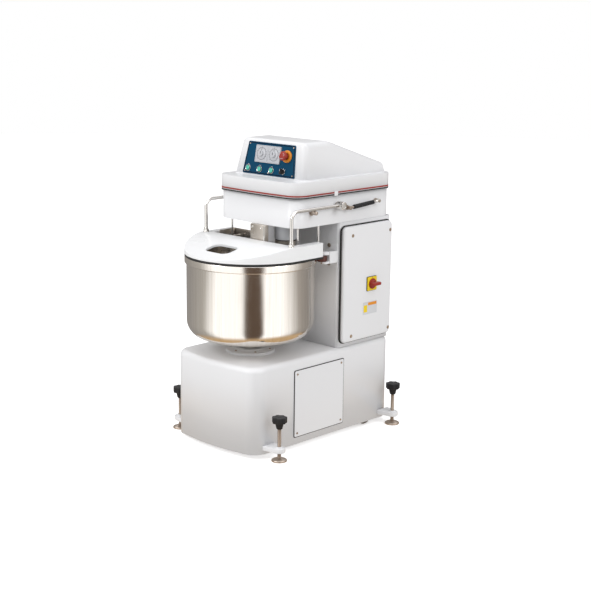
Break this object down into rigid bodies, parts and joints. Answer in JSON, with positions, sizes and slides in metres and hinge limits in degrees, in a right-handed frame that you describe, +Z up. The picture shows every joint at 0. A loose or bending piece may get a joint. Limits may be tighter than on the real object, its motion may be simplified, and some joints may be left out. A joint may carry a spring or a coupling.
{
  "type": "spiral dough mixer",
  "caption": "Floor-standing spiral dough mixer: fixed driven bowl under a gas-sprung lid, spiral hook, breaker bar, column with cabinet door, slanted control panel and screw feet.",
  "frame": {"origin": "on the floor, at the middle of the machine's footprint box", "axes": "+Z up, -Y towards the operator (bowl and control panel), +X towards the side with the cabinet door"},
  "size_m": [0.6896, 0.941, 1.297],
  "materials": {
    "white_paint": "powder coat, semi-gloss",
    "white_lid": "moulded, semi-gloss",
    "grey_paint": "satin",
    "stainless": "brushed",
    "chrome": "polished",
    "zinc": "zinc plated",
    "black_plastic": "moulded",
    "black_rubber": "matt",
    "panel_blue": "satin",
    "timer_grey": "satin",
    "red_plastic": "satin",
    "yellow_plastic": "satin",
    "green_plastic": "gloss",
    "motor_grey": "satin",
    "cast_iron": "machined"
  },
  "bodies": {
    "root": {"base_casing": "white_paint", "base_access_panel": "white_paint", "column_casing": "white_paint", "cabinet_door": "white_paint", "door_gasket": "black_rubber", "head_casing": "white_paint", "top_cover": "white_paint", "control_panel": "panel_blue", "timer_bezel": "timer_grey", "stop_button_collar": "yellow_plastic", "main_switch_plate": "yellow_plastic", "bowl_bearing_housing": "white_paint", "bowl_belt": "black_rubber", "bowl_motor": "motor_grey", "gas_spring_anchor": "zinc", "lid_stop": "chrome", "breaker_bar": "stainless", "spiral_bearing_housing": "grey_paint", "main_motor": "motor_grey", "spiral_belt": "black_rubber", "roller_bracket_left": "white_paint", "roller_bracket_right": "white_paint", "bowl_guard_left": "stainless", "bowl_guard_right": "stainless", "electrical_plate": "zinc", "cable_gland": "black_plastic"},
    "bowl": {"mixing_bowl": "stainless", "bowl_pulley": "cast_iron"},
    "bowl_drive": {"bowl_motor_pulley": "cast_iron"},
    "spiral": {"spiral_hook": "stainless", "spiral_pulley": "cast_iron"},
    "spiral_drive": {"main_motor_pulley": "cast_iron"},
    "lid": {"lid": "white_lid", "lid_seal": "black_rubber", "lid_arm_left": "chrome", "lid_arm_right": "chrome", "lid_pivot_shaft": "chrome", "damper_lever": "zinc"},
    "gas_rod": {"gas_spring_rod": "chrome"},
    "gas_cylinder": {"gas_spring_cylinder": "black_plastic"},
    "stop_button": {"stop_button_head": "red_plastic"},
    "start_left": {"start_button_left": "green_plastic"},
    "start_middle": {"start_button_middle": "green_plastic"},
    "start_right": {"start_button_right": "green_plastic"},
    "selector": {"selector_knob": "black_plastic"},
    "timer_slow": {"timer_dial_slow": "timer_grey"},
    "timer_fast": {"timer_dial_fast": "timer_grey"},
    "main_switch": {"main_switch_knob": "red_plastic"},
    "roller_left": {"bowl_roller_left": "black_rubber"},
    "roller_right": {"bowl_roller_right": "black_rubber"},
    "foot_front_left": {"foot_spindle_front_left": "zinc", "foot_knob_front_left": "black_plastic"},
    "foot_front_right": {"foot_spindle_front_right": "zinc", "foot_knob_front_right": "black_plastic"},
    "foot_rear_left": {"foot_spindle_rear_left": "zinc", "foot_knob_rear_left": "black_plastic"},
    "foot_rear_right": {"foot_spindle_rear_right": "zinc", "foot_knob_rear_right": "black_plastic"},
    "wheel_left": {"rear_wheel_left": "black_rubber"},
    "wheel_right": {"rear_wheel_right": "black_rubber"}
  },
  "joints": [
    {"name": "bowl_spin", "type": "hinge", "parent": "root", "child": "bowl", "pos_m": [0, -0.187, 0.5], "axis": [0, 0, 1], "continuous": true},
    {"name": "bowl_drive_spin", "type": "hinge", "parent": "root", "child": "bowl_drive", "pos_m": [0, 0.19, 0.29], "axis": [0, 0, 1], "continuous": true},
    {"name": "spiral_spin", "type": "hinge", "parent": "root", "child": "spiral", "pos_m": [0.088, -0.065, 0.9], "axis": [0, 0, 1], "continuous": true},
    {"name": "spiral_drive_spin", "type": "hinge", "parent": "root", "child": "spiral_drive", "pos_m": [0, 0.28, 0.99], "axis": [0, 0, 1], "continuous": true},
    {"name": "lid_lift", "type": "hinge", "parent": "root", "child": "lid", "pos_m": [0, 0.088, 1.03], "axis": [-1, 0, 0], "range_deg": [0, 50]},
    {"name": "gas_rod_swing", "type": "hinge", "parent": "root", "child": "gas_rod", "pos_m": [0.2605, 0.341, 1.026], "axis": [1, 0, 0], "range_deg": [0, 9.7]},
    {"name": "gas_spring_stroke", "type": "slide", "parent": "gas_rod", "child": "gas_cylinder", "axis": [0, -0.9977, -0.0679], "range_m": [0, 0.0415]},
    {"name": "stop_push", "type": "slide", "parent": "root", "child": "stop_button", "axis": [0, 0.9826, -0.1857], "range_m": [0, 0.006]},
    {"name": "start_left_push", "type": "slide", "parent": "root", "child": "start_left", "axis": [0, 0.9826, -0.1857], "range_m": [0, 0.004], "stiffness_N_per_m": 400},
    {"name": "start_middle_push", "type": "slide", "parent": "root", "child": "start_middle", "axis": [0, 0.9826, -0.1857], "range_m": [0, 0.004], "stiffness_N_per_m": 400},
    {"name": "start_right_push", "type": "slide", "parent": "root", "child": "start_right", "axis": [0, 0.9826, -0.1857], "range_m": [0, 0.004], "stiffness_N_per_m": 400},
    {"name": "selector_turn", "type": "hinge", "parent": "root", "child": "selector", "pos_m": [0.088, -0.0836, 1.17], "axis": [0, 0.9826, -0.1857], "range_deg": [-45, 45]},
    {"name": "timer_slow_turn", "type": "hinge", "parent": "root", "child": "timer_slow", "pos_m": [-0.049, -0.07132, 1.23496], "axis": [0, 0.9826, -0.1857], "range_deg": [0, 300]},
    {"name": "timer_fast_turn", "type": "hinge", "parent": "root", "child": "timer_fast", "pos_m": [0.025, -0.07132, 1.23496], "axis": [0, 0.9826, -0.1857], "range_deg": [0, 300]},
    {"name": "main_switch_turn", "type": "hinge", "parent": "root", "child": "main_switch", "pos_m": [0.27, 0.3, 0.662], "axis": [1, 0, 0], "range_deg": [0, 90]},
    {"name": "roller_left_spin", "type": "hinge", "parent": "root", "child": "roller_left", "pos_m": [-0.216, 0.02776, 0.802], "axis": [0, 0, 1], "continuous": true},
    {"name": "roller_right_spin", "type": "hinge", "parent": "root", "child": "roller_right", "pos_m": [0.216, 0.02776, 0.802], "axis": [0, 0, 1], "continuous": true},
    {"name": "foot_front_left_level", "type": "slide", "parent": "root", "child": "foot_front_left", "axis": [0, 0, 1], "range_m": [-0.015, 0.02]},
    {"name": "foot_front_right_level", "type": "slide", "parent": "root", "child": "foot_front_right", "axis": [0, 0, 1], "range_m": [-0.015, 0.02]},
    {"name": "foot_rear_left_level", "type": "slide", "parent": "root", "child": "foot_rear_left", "axis": [0, 0, 1], "range_m": [-0.015, 0.02]},
    {"name": "foot_rear_right_level", "type": "slide", "parent": "root", "child": "foot_rear_right", "axis": [0, 0, 1], "range_m": [-0.015, 0.02]},
    {"name": "wheel_left_spin", "type": "hinge", "parent": "root", "child": "wheel_left", "pos_m": [-0.226, 0.308, 0.052], "axis": [1, 0, 0], "continuous": true},
    {"name": "wheel_right_spin", "type": "hinge", "parent": "root", "child": "wheel_right", "pos_m": [0.226, 0.308, 0.052], "axis": [1, 0, 0], "continuous": true}
  ],
  "couplings": [
    {"joint": "bowl_drive_spin", "follows": "bowl_spin", "ratio": 4},
    {"joint": "spiral_drive_spin", "follows": "spiral_spin", "ratio": 2.6},
    {"joint": "roller_left_spin", "follows": "bowl_spin", "ratio": -13.476},
    {"joint": "roller_right_spin", "follows": "bowl_spin", "ratio": -13.476},
    {"joint": "gas_rod_swing", "follows": "lid_lift", "ratio": 0.1927},
    {"joint": "gas_spring_stroke", "follows": "lid_lift", "m_per_rad": 0.047192}
  ]
}
